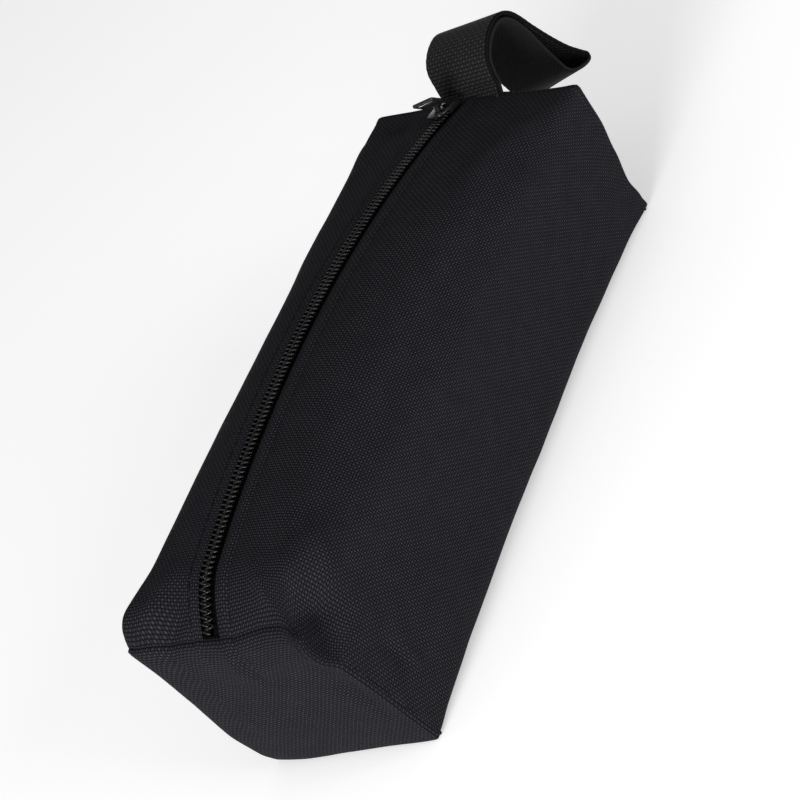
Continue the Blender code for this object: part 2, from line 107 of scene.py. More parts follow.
# Folds of the cloth: how far each reaches sideways, and points along it with its rise there, in mm
FOLDS = (
    (6.2, ((-76, -19, 69, -1.0), (-81, -26, 66.5, -3.4), (-85.5, -31, 61.5, -5.2),
           (-89, -32.5, 56, -5.8), (-92, -33, 50.5, -3.2))),
    (2.2, ((-74, -10.5, 68.5, 0.3), (-80, -14.5, 67, 1.3), (-85, -17, 65, 1.8),
           (-89, -19.5, 61.5, 1.8), (-92, -22.5, 59, 1.5), (-95, -26, 57, 0.4))),
    (4.4, ((-68, -26, 68, 0.3), (-71, -31, 65, 1.0), (-75, -35, 59, 0.9), (-80, -35, 50, 0.2))),
    (4.6, ((-76, 14, 68, 0.5), (-84, 17, 66, 2.6), (-90, 21, 63.5, 3.0), (-94, 26, 61, 1.0))),
    (2.6, ((-83, 9.5, 65.5, -0.6), (-89, 11.5, 62, -2.4), (-93, 15.5, 60, -3.6),
           (-95.5, 19.5, 58, -2.0))),
    (1.5, ((-79.8, -34, 28, 0.0), (-80.7, -34, 20.5, 0.8), (-80.5, -34, 14, 0.0))),
    (2.2, ((-83.6, -34, 35, 0.0), (-83.8, -34, 27, -1.1), (-85.1, -34, 18, 0.0))),
    (6.2, ((90, -34, 53, -1.2), (70, -36, 53.5, -2.0), (58.7, -32.4, 58.5, -1.7), (38, -33, 56.4, -1.5),
           (0, -31, 59, -1.3), (-39, -30, 62, -1.0), (-59, -29, 63.6, -0.8), (-70, -26, 67.5, -0.8))),
    (3.2, ((84, 31, 63, -0.4), (87, 26, 61.5, -2.0), (87.5, 19, 61.5, -1.8), (88, 13, 62, -0.3))),
)
# A fold is felt no further away than this many times its reach
FOLD_MARGIN = 2.2
# The end seams wander along X as the cloth pulls on them: (place across or up the seam, shift) in mm
NEAR_TOP_SEAM = ((-34, 0.0), (-28, 1.9), (-12, 2.3), (-3, 2.6), (1, 0.5), (15, 0.2), (29, -1.4),
                 (34, -0.5))
NEAR_WALL_SEAM = ((0, 0.0), (9, -0.4), (29, -0.6), (39, -0.9), (47, -3.3), (52, -3.4), (57, -1.6))
NEAR_HIDDEN_SEAM = ((0, 0.0), (8, -1.0), (20, -1.8), (36, -1.2), (57, 0.0))
FAR_WALL_SEAM = ((0, 0.0), (6, -1.2), (15, -2.8), (27, -1.0), (40, 0.3), (50, 0.0))
NEAR_PULL, FAR_PULL = 26 * MM, 20 * MM
# From the zip outwards the cloth gets free to move, and further out it belongs to the side walls
FREE_BAND = (5.5 * MM, 24 * MM)
WALL_BAND = (24 * MM, 33 * MM)
# Puckers along the end seams, the slow unevenness of the sand, and the cloth's own small crumple
PUCKER_REACH, PUCKER_START, PUCKER_RISE = 5 * MM, 2.5 * MM, 0.9 * MM
UNEVEN_RISE, CRUMPLE_RISE = 0.55 * MM, 0.16 * MM
# Beside the zip, on the left (1) and the right (-1): the folded edge, and the line of stitches that
# draws the cloth down, so that it stands proud between the two
SLOT_EDGES = {1: 3.4 * MM, -1: 4.1 * MM}
SLOT_LIP, SLOT_LIP_REACH = 0.4 * MM, 1.5 * MM
STITCH_LINES = {1: 7.1 * MM, -1: 9.1 * MM}
STITCH_SINK, STITCH_REACH = 0.5 * MM, 0.6 * MM


def smooth_step(value, low, high):
    share = min(1.0, max(0.0, (value - low) / (high - low)))
    return share * share * (3 - 2 * share)


def read_table(table, place):
    """Value at a place in a table of (place, value) pairs, eased between them."""
    if place <= table[0][0]:
        return table[0][1]
    for (low, first), (high, second) in zip(table, table[1:]):
        if place <= high:
            return first + (second - first) * smooth_step(place, low, high)
    return table[-1][1]


def arc_height(x):
    """Height of the zip's circular arc."""
    return zip_centre.z + math.sqrt(zip_radius ** 2 - (x - zip_centre.x) ** 2)


def crown(x):
    """Height of the bag's top, which turns down steeply at the near end."""
    if x >= STEEP_START:
        return arc_height(x)
    share = (STEEP_START - x) / (STEEP_START + half_length)
    return arc_height(x) - (arc_height(-half_length) - end_height) * share ** STEEPNESS


def top_radius(x, side):
    """Radius of a long top edge: soft in the middle, tight at the sewn ends."""
    reach = half_length - zip_centre.x if x > zip_centre.x else half_length + zip_centre.x
    share = min(1.0, abs(x - zip_centre.x) / reach)
    return TOP_RADIUS + TOP_SOFTNESS[side] * (1 - share ** 2)


def bottom_radius(x):
    """Radius of a long bottom edge, soft nearly to the sewn ends."""
    share = min(1.0, abs(x) / half_length)
    return BOTTOM_RADIUS + BOTTOM_SOFTNESS * (1 - share ** 5)


def half_runs(x, side):
    """Lengths of the top, corner, wall, corner and floor along one half of the section."""
    top, low = top_radius(x, side), bottom_radius(x)
    return (half_width - top, math.pi / 2 * top, crown(x) - top - low,
            math.pi / 2 * low, half_width - low)


def section(x, side, distance):
    """Point of the plain section, at a distance round it from the middle of the top."""
    top, low = top_radius(x, side), bottom_radius(x)
    height = crown(x)
    step = 0
    for run in half_runs(x, side)[:-1]:
        if distance <= run:
            break
        distance -= run
        step += 1
    if step == 0:
        y, z = distance, height
    elif step == 1:
        y = half_width - top + top * math.sin(distance / top)
        z = height - top + top * math.cos(distance / top)
    elif step == 2:
        y, z = half_width, height - top - distance
    elif step == 3:
        y = half_width - low + low * math.cos(distance / low)
        z = low - low * math.sin(distance / low)
    else:
        y, z = half_width - low - distance, 0.0
    return Vector((x, side * y, z))


def fold_paths(folds):
    """Folds in metres: reach, the box round each, and its legs with start, run, rise and its change."""
    paths = []
    for reach, line in folds:
        points = [Vector(place[:3]) * MM for place in line]
        margin = FOLD_MARGIN * reach * MM
        low = [min(point[axis] for point in points) - margin for axis in range(3)]
        high = [max(point[axis] for point in points) + margin for axis in range(3)]
        legs = []
        for index in range(len(line) - 1):
            rise, next_rise = line[index][3] * MM, line[index + 1][3] * MM
            legs.append((points[index], points[index + 1] - points[index], rise, next_rise - rise))
        paths.append((reach * MM, low, high, legs))
    return paths


def fold_rise(point, paths):
    """How far the folds lift the cloth at a point; hollows are negative."""
    total = 0.0
    for reach, low, high, legs in paths:
        if not all(low[axis] < point[axis] < high[axis] for axis in range(3)):
            continue
        best, best_rise = 3 * reach, 0.0
        for start, along, rise, change in legs:
            share = min(1.0, max(0.0, (point - start).dot(along) / along.length_squared))
            away = (start + along * share - point).length
            if away < best:
                best, best_rise = away, rise + change * share
        total += best_rise * math.exp(-(best / reach) ** 2)
    return total


body_folds = fold_paths(FOLDS)


def seam_drift(x, point, level):
    """How far the wandering of the end seams moves the cloth near them along X."""
    seam_gap = half_length - abs(x)
    wall = smooth_step(abs(point.y), *WALL_BAND)
    if x < 0:
        drift = read_table(NEAR_TOP_SEAM, point.y / MM) * smooth_step(level, 0.8, 0.97)
        wall_seam = NEAR_WALL_SEAM if point.y < 0 else NEAR_HIDDEN_SEAM
        drift += read_table(wall_seam, point.z / MM) * wall
        return drift * MM * (1 - smooth_step(seam_gap, 0, NEAR_PULL))
    if point.y < 0:
        drift = read_table(FAR_WALL_SEAM, point.z / MM) * wall
        return drift * MM * (1 - smooth_step(seam_gap, 0, FAR_PULL))
    return 0.0


def surface(x, side, distance):
    """Point of the bag's outer surface, with its leaning corners, hollows, swells and puckers."""
    point = section(x, side, distance)
    height = crown(x)
    level = min(1.0, max(0.0, point.z / height))
    lengthwise = (point.x + half_length) / (2 * half_length)
    sideways = (point.y + half_width) / (2 * half_width)
    off_zip = smooth_step(abs(point.y - zip_y), *FREE_BAND)
    loose = 1 - (1 - off_zip) * smooth_step(level, 0.5, 0.9)
    shift = Vector()
    for (end, flank, top), amount in CORNER_SHIFT.items():
        weight = lengthwise if end > 0 else 1 - lengthwise
        weight *= sideways if flank > 0 else 1 - sideways
        weight *= level if top else 1 - level
        shift += Vector(amount) * MM * weight
    for middle, reach, push in SWELLS:
        away = sum(((point[axis] - middle[axis] * MM) / (reach[axis] * MM)) ** 2 for axis in range(3))
        if away < 6:
            shift += Vector(push) * MM * math.exp(-away)
    shift.x += seam_drift(x, point, level)
    seam_gap = half_length - abs(x)
    pucker = math.exp(-seam_gap / PUCKER_REACH) * smooth_step(seam_gap, 0, PUCKER_START)
    ripple = noise.noise(Vector((x * 60, distance * 230 + side * 7, side * 3.1)))
    slow = noise.noise(Vector((x * 34, point.y * 40, point.z * 40 + 5)))
    fine = noise.noise(Vector((x * 95, point.y * 95, point.z * 95 - 3)))
    out = Vector((0, point.y / half_width, 2 * level - 1)).normalized()
    shift += out * (PUCKER_RISE * pucker * ripple + UNEVEN_RISE * slow + CRUMPLE_RISE * fine)
    moved = point + shift * loose
    moved += out * fold_rise(moved, body_folds) * loose
    if level > 0.9:
        off = abs(point.y - zip_y)
        line = STITCH_LINES[side]
        lip = SLOT_LIP * math.exp(-((off - (SLOT_EDGES[side] + line) / 2) / SLOT_LIP_REACH) ** 2)
        moved.z += lip - STITCH_SINK * math.exp(-((off - line) / STITCH_REACH) ** 2)
    moved.z = max(moved.z, 0.02 * MM)
    return moved


def lay(x, side, distance, height=0.0):
    """Point at a height above the outer surface, along its normal."""
    step = 0.4 * MM
    here = surface(x, side, distance)
    if not height:
        return here
    inward = -1 if x > 0 else 1
    along = (surface(x + inward * step, side, distance) - here) * inward
    round_it = (surface(x, side, distance + step) - here) * side
    return here + along.cross(round_it).normalized() * height


def beside_zip(x, offset, height=0.0):
    """Point at a distance across the zip from its middle, at a height above the surface."""
    y = zip_y + offset
    return lay(x, 1 if y >= 0 else -1, abs(y), height)


def turned(past, radius, most):
    """How far ahead and how deep cloth lies, at a distance past the start of a turned edge."""
    if past <= 0:
        return past, 0.0
    angle = min(past / radius, most)
    rest = past - angle * radius
    ahead = radius * math.sin(angle) + rest * math.cos(most)
    return ahead, radius * (1 - math.cos(angle)) + rest * math.sin(most)


def spread(start, end, step):
    """Evenly spaced values from start up to, and without, end."""
    count = max(1, round(abs(end - start) / step))
    return [start + (end - start) * index / count for index in range(count)]


def lay_grid(bm, columns, rows):
    """Make a grid with a line for each of the columns and rows, and give each point's column and row."""
    bmesh.ops.create_grid(bm, x_segments=len(columns) - 1, y_segments=len(rows) - 1, size=1)
    for vert in bm.verts:
        column = round((vert.co.x + 1) / 2 * (len(columns) - 1))
        yield vert, column, round((vert.co.y + 1) / 2 * (len(rows) - 1))


def cut_cloth(name, lengths, widths, place):
    """Cut a grid of cloth, lay its points by place(length, width), and keep the flat cut as UVs."""
    bm = bmesh.new()
    weave_map = bm.loops.layers.uv.new("cut")
    flat = {}
    for vert, column, row in lay_grid(bm, lengths, widths):
        flat[vert] = (lengths[column], widths[row])
        vert.co = place(lengths[column], widths[row])
    for face in bm.faces:
        for loop in face.loops:
            loop[weave_map].uv = flat[loop.vert]
    return make_piece(name, bm)


def make_piece(name, bm, sharp=60):
    """Turn a bmesh into a smooth-shaded object at the origin."""
    mesh = bpy.data.meshes.new(name)
    bm.to_mesh(mesh)
    bm.free()
    mesh.shade_smooth()
    mesh.set_sharp_from_angle(angle=math.radians(sharp))
    piece = bpy.data.objects.new(name, mesh)
    bpy.context.scene.collection.objects.link(piece)
    return piece


def thicken(piece, thickness):
    """Give cloth its thickness, inwards from its outer face."""
    solid = piece.modifiers.new("cloth thickness", "SOLIDIFY")
    solid.thickness = thickness
    solid.offset = -1
    return piece


def new_material(name, **values):
    """Material whose Principled BSDF has these values on its own sockets."""
    material = bpy.data.materials.new(name)
    material.use_nodes = True
    shader = material.node_tree.nodes["Principled BSDF"]
    for socket, value in values.items():
        shader.inputs[socket.replace("_", " ")].default_value = value
    return material


def add_node(material, kind, settings=(), **inputs):
    """Add a shader node; each input is a value, or another node's output."""
    tree = material.node_tree
    node = tree.nodes.new("ShaderNode" + kind)
    for setting, value in dict(settings).items():
        setattr(node, setting, value)
    for socket, value in inputs.items():
        target = node.inputs[int(socket[1:]) if socket[1:].isdigit() else socket.replace("_", " ")]
        if isinstance(value, bpy.types.NodeSocket):
            tree.links.new(value, target)
        else:
            target.default_value = value
    return node


def calc(material, operation, first, second=0.0):
    """Result of one sum on node outputs or values."""
    return add_node(material, "Math", {"operation": operation}, _0=first, _1=second).outputs[0]


def mix_colours(material, share, first, second):
    """Colour between two, by a share from 0 to 1."""
    ends = {"_6": (*first, 1), "_7": (*second, 1)}
    return add_node(material, "Mix", {"data_type": "RGBA"}, _0=share, **ends).outputs[2]


def finish_shader(material, **outputs):
    """Link node outputs to the Principled BSDF's sockets."""
    shader = material.node_tree.nodes["Principled BSDF"]
    for socket, output in outputs.items():
        material.node_tree.links.new(output, shader.inputs[socket.replace("_", " ")])


def flat_cut(material):
    """The two directions of a piece's flat cut, in metres."""
    uv = add_node(material, "UVMap", {"uv_map": "cut"}).outputs[0]
    parts = add_node(material, "SeparateXYZ", _0=uv)
    return uv, parts.outputs[0], parts.outputs[1]


def plain_weave(name, colour, thread, relief, contrast=0.9, slack=0.08, **values):
    """Plain-woven cloth: threads pass over and under each other, one thread apart both ways.

    Contrast is how far the gaps are darker, as painted shade, and the threads' tops lighter, as a painted
    highlight, than the colour, and slack is how far the threads wander from straight, as a share of their
    spacing."""
    material = new_material(name, **values)
    uv, lengthwise, across = flat_cut(material)
    wander = add_node(material, "TexNoise", Vector=uv, Scale=0.35 / thread, Detail=2.0).outputs[0]
    drift = calc(material, "MULTIPLY", calc(material, "SUBTRACT", wander, 0.5), thread * slack * 4)
    turns = []
    for direction in (lengthwise, across):
        moved = calc(material, "ADD", direction, drift)
        turns.append(calc(material, "SINE", calc(material, "MULTIPLY", moved, math.pi / thread)))
    over = calc(material, "MULTIPLY", *turns)
    rise = calc(material, "POWER", calc(material, "ABSOLUTE", over), 0.85)
    warp_up = add_node(material, "MapRange", _0=over, _1=-0.2, _2=0.2, _3=0.5, _4=1.0).outputs[0]
    lift = calc(material, "MULTIPLY", rise, warp_up)
    slub = add_node(material, "TexNoise", Vector=uv, Scale=0.12 / thread, Detail=4.0, Roughness=0.7)
    uneven = calc(material, "ADD", calc(material, "MULTIPLY", slub.outputs[0], 0.7), 0.65)
    # The colour follows the threads' relief: the darker gaps are painted shade and the lighter tops a
    # painted highlight, varied by the yarn's own slub.
    relief_shade_and_slub = calc(material, "MULTIPLY", lift, uneven)
    dark = [part * (1 - contrast) for part in colour]
    light = [part * (1 + 1.9 * contrast) for part in colour]
    finish_shader(material, Base_Color=mix_colours(material, relief_shade_and_slub, dark, light))
    bump = add_node(material, "Bump", Strength=0.9, Distance=relief, Height=lift)
    finish_shader(material, Normal=bump.outputs[0])
    return material


fabric = plain_weave("oxford_cloth", FABRIC_COLOUR, FABRIC_THREAD, 0.3 * MM,
                     Roughness=0.75, Specular_IOR_Level=0.03)

flat_reach = half_length - TURN_RADIUS
edge_length = TURN_RADIUS * math.pi / 2
end_steps = spread(-flat_reach - edge_length - ALLOWANCE, -flat_reach - edge_length, ALLOWANCE_STEP)
end_steps += spread(-flat_reach - edge_length, -flat_reach, TURN_STEP)
body_lengths = end_steps + spread(-flat_reach, flat_reach, CLOTH_STEP)
body_lengths += [-step for step in end_steps[::-1]]

fold_length = FOLD_RADIUS * math.pi
left_start, right_start = zip_y + SLOT_EDGES[1], SLOT_EDGES[-1] - zip_y
left_half = sum(half_runs(0, 1)) - left_start
right_half = sum(half_runs(0, -1)) - right_start
edge_steps = spread(-fold_length - FOLD_WIDTH, -fold_length, FOLD_STEP)
edge_steps += spread(-fold_length, 0, TURN_STEP)
girth = left_half + right_half
body_widths = edge_steps + spread(0, girth, GIRTH_STEP) + [girth - step for step in edge_steps[::-1]]


def body_place(length, width):
    """Where the body panel's cloth lies: length along X, and width round the bag from the zip's left."""
    beyond = abs(length) - flat_reach
    ahead, drop = turned(beyond, TURN_RADIUS, math.pi / 2)
    x = math.copysign(flat_reach + ahead, length)
    folded = -width if width < girth / 2 else width - girth
    back, fold_drop = turned(folded, FOLD_RADIUS, math.pi)
    if width < left_half:
        share = -back / left_half if folded > 0 else width / left_half
        distance = left_start + share * (sum(half_runs(x, 1)) - left_start)
        return lay(x, 1, distance, -drop - fold_drop)
    share = -back / right_half if folded > 0 else (girth - width) / right_half
    distance = right_start + share * (sum(half_runs(x, -1)) - right_start)
    if distance < 0:
        return lay(x, 1, -distance, -drop - fold_drop)
    return lay(x, -1, distance, -drop - fold_drop)


body = cut_cloth("body_panel_cloth", body_lengths, body_widths, body_place)
thicken(body, FABRIC_THICKNESS)
body.data.materials.append(fabric)
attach(body, "bag")
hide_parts("body_panel")


# ---------------------------------------------------------------- end panels
# Two rectangles of the same cloth close the bag's ends. Each is sewn round its edge to the body
# panel, so the seam is a groove between two turned edges, and the sand swells the panel out.

# How far the near (-1) and far (1) panel swell out, how full they stay towards the seam, and the rise
# of the sand's unevenness and of the cloth's crumple
PANEL_BULGE = {-1: 3.0 * MM, 1: 2.2 * MM}
PANEL_FULLNESS = 0.45
PANEL_UNEVEN, PANEL_CRUMPLE = 0.7 * MM, 0.2 * MM
PANEL_FOLDS = (
    (16, ((-97, 16, 20, 1.0), (-97, 20, 12, 1.4))),
    (3.4, ((-96.4, -25, 40, -0.3), (-96.5, -26.5, 31.3, -1.2), (-96.5, -28.5, 23, -1.2),
           (-96, -29, 10, -0.3))),
    (2.4, ((-98, -2, 56.4, 0.2), (-100, -2.2, 49.7, 1.3), (-100, 2, 40, 0.3))),
    (1.7, ((-99, -8, 54, -0.2), (-100, -6, 46, -1.3), (-100, -4.5, 38, -0.3))),
)
PANEL_TURN = 0.6 * MM
panel_folds = fold_paths(PANEL_FOLDS)
panel_half_width, panel_half_height = half_width, end_height / 2


def end_ring(direction, y_share, z_share):
    """Point of the end seam: shares run from -1 to 1 across and up, one of them at its end."""
    x = direction * half_length
    side = 1 if y_share >= 0 else -1
    top, corner, wall, low, floor = half_runs(x, side)
    if z_share >= 1:
        distance = abs(y_share) * (top + corner / 2)
    elif z_share <= -1:
        distance = top + corner + wall + low / 2 + (1 - abs(y_share)) * (low / 2 + floor)
    else:
        distance = top + corner / 2 + (1 - z_share) / 2 * (corner / 2 + wall + low / 2)
    return surface(x, side, distance)


def panel_point(direction, y_share, z_share):
    """Point of the end panel, stretched between the four sides of its seam and swollen outwards."""
    u, v = (y_share + 1) / 2, (z_share + 1) / 2
    left, right = end_ring(direction, 1, z_share), end_ring(direction, -1, z_share)
    top, floor = end_ring(direction, y_share, 1), end_ring(direction, y_share, -1)
    floor_corners = end_ring(direction, -1, -1) * (1 - u) + end_ring(direction, 1, -1) * u
    top_corners = end_ring(direction, -1, 1) * (1 - u) + end_ring(direction, 1, 1) * u
    point = left * u + right * (1 - u) + top * v + floor * (1 - v)
    point -= floor_corners * (1 - v) + top_corners * v
    full = ((1 - y_share ** 2) * (1 - z_share ** 2)) ** PANEL_FULLNESS
    wave = noise.noise(Vector((point.y * 42, point.z * 42, direction * 9)))
    crumple = noise.noise(Vector((point.y * 120, point.z * 70, direction * 4)))
    swell = PANEL_BULGE[direction] + PANEL_UNEVEN * wave + PANEL_CRUMPLE * crumple
    point.x += direction * full * swell
    point.x += direction * min(1.0, full * 3) * fold_rise(point, panel_folds)
    return point


def turned_share(place, half):
    """Share of the way to a panel's edge, and the drop there, for a place on its flat cut."""
    ahead, drop = turned(abs(place) - (half - PANEL_TURN), PANEL_TURN, math.pi / 2)
    return math.copysign(min(1.0, (half - PANEL_TURN + ahead) / half), place), drop


def panel_steps(half):
    """Lines of a panel's mesh from edge to edge, with its turned edges and seam allowance."""
    turn = PANEL_TURN * math.pi / 2
    flat = half - PANEL_TURN
    edge = spread(-flat - turn - ALLOWANCE, -flat - turn, ALLOWANCE_STEP)
    edge += spread(-flat - turn, -flat, TURN_STEP)
    return edge + spread(-flat, flat, CLOTH_STEP) + [-step for step in edge[::-1]]


for node, direction in (("near_end_panel", -1), ("far_end_panel", 1)):
    def panel_place(across, up, direction=direction):
        y_share, drop_y = turned_share(across, panel_half_width)
        z_share, drop_z = turned_share(up, panel_half_height)
        point = panel_point(direction, y_share, z_share)
        point.x += direction * (PANEL_TURN + 0.1 * MM - max(drop_y, drop_z))
        return point

    panel = cut_cloth(node + "_cloth", panel_steps(panel_half_width), panel_steps(panel_half_height),
                      panel_place)
    if direction < 0:
        panel.data.flip_normals()
    thicken(panel, FABRIC_THICKNESS)
    panel.data.materials.append(fabric)
    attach(panel, "bag")
    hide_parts(node)


# ---------------------------------------------------------------- zip tapes
# Two narrow woven polyester tapes, one for each half of the zip. Each lies under a folded edge of
# the body panel, and its inner edge carries the coil.

TAPE_DEPTH = 1.15 * MM
TAPE_INNER, TAPE_RIBBED, TAPE_OUTER = 0.75 * MM, 5 * MM, 11 * MM
TAPE_RIB, TAPE_RIB_PITCH = 0.12 * MM, 1.8 * MM
TAPE_THICKNESS = 0.4 * MM
zip_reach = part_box("zip_tape_left")[1].x

tape_cloth = plain_weave("zip_tape_weave", (0.0025, 0.0025, 0.0025), 0.45 * MM, 0.07 * MM,
                         Roughness=0.7, Specular_IOR_Level=0.02)

for side, name in ((1, "zip_tape_left"), (-1, "zip_tape_right")):
    def tape_place(length, width, side=side):
        rib = 0.0
        if width < TAPE_RIBBED:
            rib = TAPE_RIB * math.cos((width - TAPE_INNER) / TAPE_RIB_PITCH * 2 * math.pi)
        return beside_zip(length, side * width, -TAPE_DEPTH + rib)

    lengths = spread(-zip_reach, zip_reach, 1.2 * MM) + [zip_reach]
    widths = spread(TAPE_INNER, TAPE_RIBBED, 0.3 * MM)
    widths += spread(TAPE_RIBBED, TAPE_OUTER, 1.5 * MM) + [TAPE_OUTER]
    tape = cut_cloth(name + "_weave", lengths, widths, tape_place)
    if side < 0:
        tape.data.flip_normals()
    thicken(tape, TAPE_THICKNESS)
    tape.data.materials.append(tape_cloth)
    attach(tape, "bag")
    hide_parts(name)


# ---------------------------------------------------------------- zip coils
# Each half of the zip is one nylon monofilament wound into a flattened coil and sewn to its tape.
# The turns of one half lie between the turns of the other, and lock where they meet.

COIL_PITCH = 1.5 * MM
COIL_WIRE = 0.27 * MM
COIL_START, COIL_MARGIN = 0.6 * MM, 1.0 * MM
COIL_HEAD, COIL_HEEL = -0.3 * MM, 1.95 * MM
COIL_TOP, COIL_FOOT = 0.55 * MM, -0.6 * MM
TURN_POINTS = 12


def on_piece(material, kind, settings=(), **inputs):
    """Pattern laid on the piece's own coordinates."""
    place = add_node(material, "TexCoord").outputs["Object"]
    return add_node(material, kind, settings, Vector=place, **inputs).outputs[0]


def wear_in(material, pattern, dark, light, strength, depth):
    """Colour a material between two colours by a pattern, and roughen it by the same pattern."""
    finish_shader(material, Base_Color=mix_colours(material, pattern, dark, light))
    bump = add_node(material, "Bump", Strength=strength, Distance=depth, Height=pattern)
    finish_shader(material, Normal=bump.outputs[0])


coil_nylon = new_material("coil_nylon", Roughness=0.27, Specular_IOR_Level=0.45)
grain = on_piece(coil_nylon, "TexNoise", Scale=900.0, Detail=3.0)
wear_in(coil_nylon, grain, (0.003, 0.003, 0.003), (0.009, 0.009, 0.009), 0.3, 0.03 * MM)


def curve_piece(name, points, radius, sides=2, closed=False):
    """Round thread or wire through a row of points, as a mesh."""
    curve = bpy.data.curves.new(name, "CURVE")
    curve.dimensions = "3D"
    curve.bevel_depth = radius
    curve.bevel_resolution = sides
    curve.use_fill_caps = True
    spline = curve.splines.new("POLY")
    spline.points.add(len(points) - 1)
    for spline_point, point in zip(spline.points, points):
        spline_point.co = (*point, 1)
    spline.use_cyclic_u = closed
    holder = bpy.data.objects.new(name + "_line", curve)
    bpy.context.scene.collection.objects.link(holder)
    bpy.context.view_layer.update()
    mesh = bpy.data.meshes.new_from_object(holder.evaluated_get(bpy.context.evaluated_depsgraph_get()))
    bpy.data.objects.remove(holder)
    mesh.name = name
    mesh.shade_smooth()
    piece = bpy.data.objects.new(name, mesh)
    bpy.context.scene.collection.objects.link(piece)
    return piece


def coil_turn(turn):
    """Place across the zip and up in the coil's flattened turn, from its head and back to it."""
    angle = 2 * math.pi * turn
    middle, half = (COIL_HEAD + COIL_HEEL) / 2, (COIL_HEEL - COIL_HEAD) / 2
    across = middle - half * math.copysign(abs(math.cos(angle)) ** 0.7, math.cos(angle))
    up = (COIL_TOP + COIL_FOOT) / 2 + (COIL_TOP - COIL_FOOT) / 2 * math.sin(angle)
    return across, up


for side, name in ((1, "zip_coil_left"), (-1, "zip_coil_right")):
    points = []
    turns = int(2 * (zip_reach - COIL_MARGIN) / COIL_PITCH)
    for index in range(turns * TURN_POINTS):
        turn = index / TURN_POINTS
        across, up = coil_turn(turn)
        x = -zip_reach + COIL_START + COIL_PITCH * (turn + (0.5 if side < 0 else 0.0))
        points.append(beside_zip(x, side * across, up))
    coil = curve_piece(name + "_wire", points, COIL_WIRE, 1)
    coil.data.materials.append(coil_nylon)
    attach(coil, "bag")
    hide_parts(name)


# ---------------------------------------------------------------- topstitches
# A row of lockstitch in black polyester thread on each side of the zip holds the body panel's
# folded edge down on the tape. Each stitch rises from its hole, lies flat, and goes down again.

STITCH_LENGTH = 3.9 * MM
STITCH_GAP = 0.5 * MM
STITCH_SHARES = (0.02, 0.1, 0.3, 0.5, 0.7, 0.9, 0.98)
THREAD = 0.24 * MM

thread_material = new_material("polyester_thread", Roughness=0.6, Specular_IOR_Level=0.08)
ply = on_piece(thread_material, "TexWave", {"bands_direction": "DIAGONAL"}, Scale=900.0)
wear_in(thread_material, ply, (0.003, 0.003, 0.004), (0.011, 0.011, 0.013), 0.5, 0.04 * MM)

for side, name in ((1, "zip_topstitch_left"), (-1, "zip_topstitch_right")):
    bm = bmesh.new()
    reach = zip_reach - 1.5 * MM
    line = side * STITCH_LINES[side]
    for start in spread(-reach, reach, STITCH_LENGTH):
        ring = None
        for share in STITCH_SHARES:
            lift = math.sin(math.pi * share) ** 0.5
            x = start + STITCH_GAP / 2 + share * (STITCH_LENGTH - STITCH_GAP)
            middle = beside_zip(x, line, THREAD * (1.3 * lift - 0.6))
            ahead = beside_zip(x + 0.3 * MM, line) - beside_zip(x, line)
            turn = ahead.to_track_quat("Z", "Y").to_matrix().to_4x4()
            radius = THREAD * (0.5 + 0.5 * lift)
            made = bmesh.ops.create_circle(bm, cap_ends=False, segments=8, radius=radius,
                                           matrix=Matrix.Translation(middle) @ turn)
            edges = list({edge for vert in made["verts"] for edge in vert.link_edges})
            if ring:
                bmesh.ops.bridge_loops(bm, edges=ring + edges)
            else:
                bmesh.ops.contextual_create(bm, geom=edges)
            ring = edges
        bmesh.ops.contextual_create(bm, geom=ring)
    bmesh.ops.recalc_face_normals(bm, faces=bm.faces)
    stitches = make_piece(name + "_thread", bm)
    stitches.data.materials.append(thread_material)
    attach(stitches, "bag")
    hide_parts(name)


# ---------------------------------------------------------------- slider
# Zinc slider, cast in one piece and coated in black enamel: a flanged top plate, a plate under the
# tapes, the neck that parts the coils, and the bridge that holds the pull tab.

swing = next(joint for joint in frame["joints"] if joint["name"] == "pull_tab_swing")
tab_pivot = Vector(swing["pos_m"])
slider_out = (tab_pivot - zip_centre).normalized()
slider_across = Vector((0, 1, 0))
slider_along = slider_across.cross(slider_out)
slider_place = Matrix((slider_along, slider_across, slider_out)).transposed().to_4x4()
slider_place.translation = zip_centre + slider_out * zip_radius

PLATE_LOW, PLATE_HIGH, PLATE_POINTS = 1.5 * MM, 2.4 * MM, 24
SLIDER_HALF_LENGTH, SLIDER_HALF_WIDTH = 5.2 * MM, 4.15 * MM
UNDER_LOW, UNDER_HIGH = -2.75 * MM, -1.95 * MM
FLANGE_LOW, FLANGE_INSET, FLANGE_OUTSET = 0.45 * MM, 0.75 * MM, 0.08 * MM
FLANGE_TAIL, FLANGE_NOSE, FLANGE_TIP = -1.6 * MM, 3.7 * MM, 3.9 * MM
# How far castings run into each other, so that they are one
OVERLAP = 0.3 * MM
NECK_START, NECK_END, NECK_NARROW, NECK_WIDE = 0.9 * MM, 3.9 * MM, 0.16 * MM, 0.4 * MM
BRIDGE_INNER, BRIDGE_OUTER, BRIDGE_HALF_WIDTH = 1.5 * MM, 2.4 * MM, 0.9 * MM
BRIDGE_STRETCH, BRIDGE_SINK = 1.2, 0.25 * MM


def plate_outline(half_length, half_width):
    """Plan of a slider plate: a broad round nose towards the loop, and a narrower tail."""
    outline = []
    for index in range(PLATE_POINTS):
        turn = 2 * math.pi * (index + 0.5) / PLATE_POINTS
        u = half_length * math.copysign(abs(math.cos(turn)) ** 0.6, math.cos(turn))
        v = half_width * math.copysign(abs(math.sin(turn)) ** 0.5, math.sin(turn))
        outline.append((u, v * (0.93 + 0.07 * u / half_length)))
    return outline


def soften_edges(bm, edges, offset, segments):
    """Round edges over."""
    bmesh.ops.bevel(bm, geom=edges, offset=offset, segments=segments, profile=0.5, affect="EDGES",
                    material=-1)


